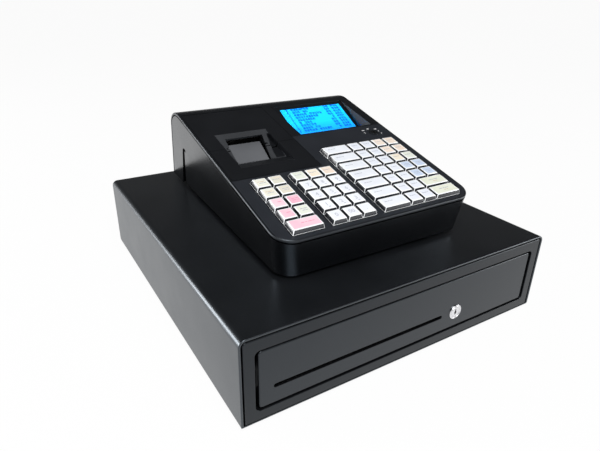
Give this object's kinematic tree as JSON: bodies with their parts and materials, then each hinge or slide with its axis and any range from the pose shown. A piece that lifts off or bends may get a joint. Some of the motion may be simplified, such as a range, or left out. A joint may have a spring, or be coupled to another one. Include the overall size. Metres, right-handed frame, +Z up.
{
  "type": "cash register",
  "caption": "Wedge-shaped electronic register with ticket printer, tilted display and keypads, standing on a wide steel cash drawer with key lock and media slot.",
  "frame": {"origin": "on the counter surface under the middle of the drawer", "axes": "+X to the right seen from the front, +Y to the back, +Z up"},
  "size_m": [0.41, 0.444, 0.2215],
  "materials": {
    "black_paint": "fine-textured satin powder coat",
    "zinc_steel": "zinc plated sheet",
    "bare_steel": "bright",
    "chrome": "polished",
    "black_plastic": "satin black",
    "grey_plastic": "matt dark grey",
    "key_caps": "clear caps over coloured and white legend sheets",
    "rubber": "matt",
    "green_board": "solder mask",
    "motor_metal": "satin",
    "clear_window": "clear",
    "blue_lcd": "lit cyan with blue dots",
    "paper": "thermal paper"
  },
  "bodies": {
    "cabinet": {"drawer_cover": "black_paint", "drawer_base": "black_paint", "front_frame": "black_paint", "housing_rails": "zinc_steel", "latch_bracket": "zinc_steel", "rubber_feet": "rubber", "lower_case": "black_plastic", "upper_case": "black_plastic", "keyboard_plate": "grey_plastic", "printer_surround": "black_plastic", "receipt_guide": "bare_steel", "tear_bar": "bare_steel", "printer_frame": "black_plastic", "print_head": "motor_metal", "feed_motor": "motor_metal", "display_bezel": "black_plastic", "display_window": "clear_window", "lcd_module": "blue_lcd", "mode_lock_barrel": "chrome", "key_guide": "black_plastic", "circuit_boards": "green_board", "power_supply": "black_plastic", "customer_display": "black_plastic", "rear_sockets": "black_plastic", "case_screws": "bare_steel"},
    "drawer": {"drawer_box": "zinc_steel", "drawer_front": "black_paint", "cash_tray": "black_plastic", "lock_barrel": "chrome"},
    "bill_clips": {"bill_clips": "bare_steel"},
    "drawer_lock": {"lock_plug": "chrome"},
    "latch_hook": {"latch_hook": "bare_steel"},
    "printer_cover": {"printer_cover": "black_plastic"},
    "platen": {"platen_roller": "rubber"},
    "paper_roll": {"paper_roll": "paper"},
    "mode_lock": {"mode_lock_plug": "chrome"},
    "left_wide_key": {"left_wide_key": "key_caps"},
    "left_keys_row_1": {"left_keys_row_1": "key_caps"},
    "left_keys_row_2": {"left_keys_row_2": "key_caps"},
    "left_keys_row_3": {"left_keys_row_3": "key_caps"},
    "left_keys_row_4": {"left_keys_row_4": "key_caps"},
    "number_key_0": {"number_key_0": "key_caps"},
    "number_key_00": {"number_key_00": "key_caps"},
    "number_key_1": {"number_key_1": "key_caps"},
    "number_key_2": {"number_key_2": "key_caps"},
    "number_key_3": {"number_key_3": "key_caps"},
    "number_key_4": {"number_key_4": "key_caps"},
    "number_key_5": {"number_key_5": "key_caps"},
    "number_key_6": {"number_key_6": "key_caps"},
    "number_key_7": {"number_key_7": "key_caps"},
    "number_key_8": {"number_key_8": "key_caps"},
    "number_key_9": {"number_key_9": "key_caps"},
    "decimal_point_key": {"decimal_point_key": "key_caps"},
    "middle_top_key_1": {"middle_top_key_1": "key_caps"},
    "middle_top_key_2": {"middle_top_key_2": "key_caps"},
    "middle_top_key_3": {"middle_top_key_3": "key_caps"},
    "department_keys": {"department_keys": "key_caps"},
    "lookup_keys": {"lookup_keys": "key_caps"},
    "function_keys": {"function_keys": "key_caps"},
    "total_keys": {"total_keys": "key_caps"}
  },
  "joints": [
    {"name": "drawer_slide", "type": "slide", "parent": "cabinet", "child": "drawer", "axis": [0, -1, 0], "range_m": [0, 0.33]},
    {"name": "drawer_lock_turn", "type": "hinge", "parent": "drawer", "child": "drawer_lock", "pos_m": [0.066, -0.221, 0.0398], "axis": [0, -1, 0], "range_deg": [0, 90]},
    {"name": "bill_clip_hinge", "type": "hinge", "parent": "drawer", "child": "bill_clips", "pos_m": [0, 0.158, 0.073], "axis": [-1, 0, 0], "range_deg": [0, 24]},
    {"name": "latch_pivot", "type": "hinge", "parent": "cabinet", "child": "latch_hook", "pos_m": [0, 0.208, 0.044], "axis": [1, 0, 0], "range_deg": [0, 20]},
    {"name": "printer_cover_hinge", "type": "hinge", "parent": "cabinet", "child": "printer_cover", "pos_m": [-0.074, 0.09807, 0.21806], "axis": [-1, 0, 0], "range_deg": [0, 95]},
    {"name": "platen_spin", "type": "hinge", "parent": "cabinet", "child": "platen", "pos_m": [-0.074, 0.03955, 0.18296], "axis": [1, 0, 0], "continuous": true},
    {"name": "paper_roll_spin", "type": "hinge", "parent": "cabinet", "child": "paper_roll", "pos_m": [-0.074, 0.0726, 0.17077], "axis": [1, 0, 0], "continuous": true},
    {"name": "mode_lock_turn", "type": "hinge", "parent": "cabinet", "child": "mode_lock", "pos_m": [0.106, -0.00538, 0.19314], "axis": [0, -0.2478, 0.9688], "range_deg": [-60, 90]},
    {"name": "left_wide_key_press", "type": "slide", "parent": "cabinet", "child": "left_wide_key", "axis": [0, 0.2478, -0.9688], "range_m": [0, 0.003], "stiffness_N_per_m": 200, "springref_m": -0.0005},
    {"name": "left_keys_row_1_press", "type": "slide", "parent": "cabinet", "child": "left_keys_row_1", "axis": [0, 0.2478, -0.9688], "range_m": [0, 0.003], "stiffness_N_per_m": 400, "springref_m": -0.0005},
    {"name": "left_keys_row_2_press", "type": "slide", "parent": "cabinet", "child": "left_keys_row_2", "axis": [0, 0.2478, -0.9688], "range_m": [0, 0.003], "stiffness_N_per_m": 400, "springref_m": -0.0005},
    {"name": "left_keys_row_3_press", "type": "slide", "parent": "cabinet", "child": "left_keys_row_3", "axis": [0, 0.2478, -0.9688], "range_m": [0, 0.003], "stiffness_N_per_m": 400, "springref_m": -0.0005},
    {"name": "left_keys_row_4_press", "type": "slide", "parent": "cabinet", "child": "left_keys_row_4", "axis": [0, 0.2478, -0.9688], "range_m": [0, 0.003], "stiffness_N_per_m": 400, "springref_m": -0.0005},
    {"name": "number_key_0_press", "type": "slide", "parent": "cabinet", "child": "number_key_0", "axis": [0, 0.2478, -0.9688], "range_m": [0, 0.003], "stiffness_N_per_m": 200, "springref_m": -0.0005},
    {"name": "number_key_00_press", "type": "slide", "parent": "cabinet", "child": "number_key_00", "axis": [0, 0.2478, -0.9688], "range_m": [0, 0.003], "stiffness_N_per_m": 200, "springref_m": -0.0005},
    {"name": "number_key_1_press", "type": "slide", "parent": "cabinet", "child": "number_key_1", "axis": [0, 0.2478, -0.9688], "range_m": [0, 0.003], "stiffness_N_per_m": 200, "springref_m": -0.0005},
    {"name": "number_key_2_press", "type": "slide", "parent": "cabinet", "child": "number_key_2", "axis": [0, 0.2478, -0.9688], "range_m": [0, 0.003], "stiffness_N_per_m": 200, "springref_m": -0.0005},
    {"name": "number_key_3_press", "type": "slide", "parent": "cabinet", "child": "number_key_3", "axis": [0, 0.2478, -0.9688], "range_m": [0, 0.003], "stiffness_N_per_m": 200, "springref_m": -0.0005},
    {"name": "number_key_4_press", "type": "slide", "parent": "cabinet", "child": "number_key_4", "axis": [0, 0.2478, -0.9688], "range_m": [0, 0.003], "stiffness_N_per_m": 200, "springref_m": -0.0005},
    {"name": "number_key_5_press", "type": "slide", "parent": "cabinet", "child": "number_key_5", "axis": [0, 0.2478, -0.9688], "range_m": [0, 0.003], "stiffness_N_per_m": 200, "springref_m": -0.0005},
    {"name": "number_key_6_press", "type": "slide", "parent": "cabinet", "child": "number_key_6", "axis": [0, 0.2478, -0.9688], "range_m": [0, 0.003], "stiffness_N_per_m": 200, "springref_m": -0.0005},
    {"name": "number_key_7_press", "type": "slide", "parent": "cabinet", "child": "number_key_7", "axis": [0, 0.2478, -0.9688], "range_m": [0, 0.003], "stiffness_N_per_m": 200, "springref_m": -0.0005},
    {"name": "number_key_8_press", "type": "slide", "parent": "cabinet", "child": "number_key_8", "axis": [0, 0.2478, -0.9688], "range_m": [0, 0.003], "stiffness_N_per_m": 200, "springref_m": -0.0005},
    {"name": "number_key_9_press", "type": "slide", "parent": "cabinet", "child": "number_key_9", "axis": [0, 0.2478, -0.9688], "range_m": [0, 0.003], "stiffness_N_per_m": 200, "springref_m": -0.0005},
    {"name": "decimal_point_key_press", "type": "slide", "parent": "cabinet", "child": "decimal_point_key", "axis": [0, 0.2478, -0.9688], "range_m": [0, 0.003], "stiffness_N_per_m": 200, "springref_m": -0.0005},
    {"name": "middle_top_key_1_press", "type": "slide", "parent": "cabinet", "child": "middle_top_key_1", "axis": [0, 0.2478, -0.9688], "range_m": [0, 0.003], "stiffness_N_per_m": 200, "springref_m": -0.0005},
    {"name": "middle_top_key_2_press", "type": "slide", "parent": "cabinet", "child": "middle_top_key_2", "axis": [0, 0.2478, -0.9688], "range_m": [0, 0.003], "stiffness_N_per_m": 200, "springref_m": -0.0005},
    {"name": "middle_top_key_3_press", "type": "slide", "parent": "cabinet", "child": "middle_top_key_3", "axis": [0, 0.2478, -0.9688], "range_m": [0, 0.003], "stiffness_N_per_m": 200, "springref_m": -0.0005},
    {"name": "department_keys_press", "type": "slide", "parent": "cabinet", "child": "department_keys", "axis": [0, 0.2478, -0.9688], "range_m": [0, 0.003], "stiffness_N_per_m": 1400, "springref_m": -0.0005},
    {"name": "lookup_keys_press", "type": "slide", "parent": "cabinet", "child": "lookup_keys", "axis": [0, 0.2478, -0.9688], "range_m": [0, 0.003], "stiffness_N_per_m": 2800, "springref_m": -0.0005},
    {"name": "function_keys_press", "type": "slide", "parent": "cabinet", "child": "function_keys", "axis": [0, 0.2478, -0.9688], "range_m": [0, 0.003], "stiffness_N_per_m": 2000, "springref_m": -0.0005},
    {"name": "total_keys_press", "type": "slide", "parent": "cabinet", "child": "total_keys", "axis": [0, 0.2478, -0.9688], "range_m": [0, 0.003], "stiffness_N_per_m": 400, "springref_m": -0.0005}
  ]
}
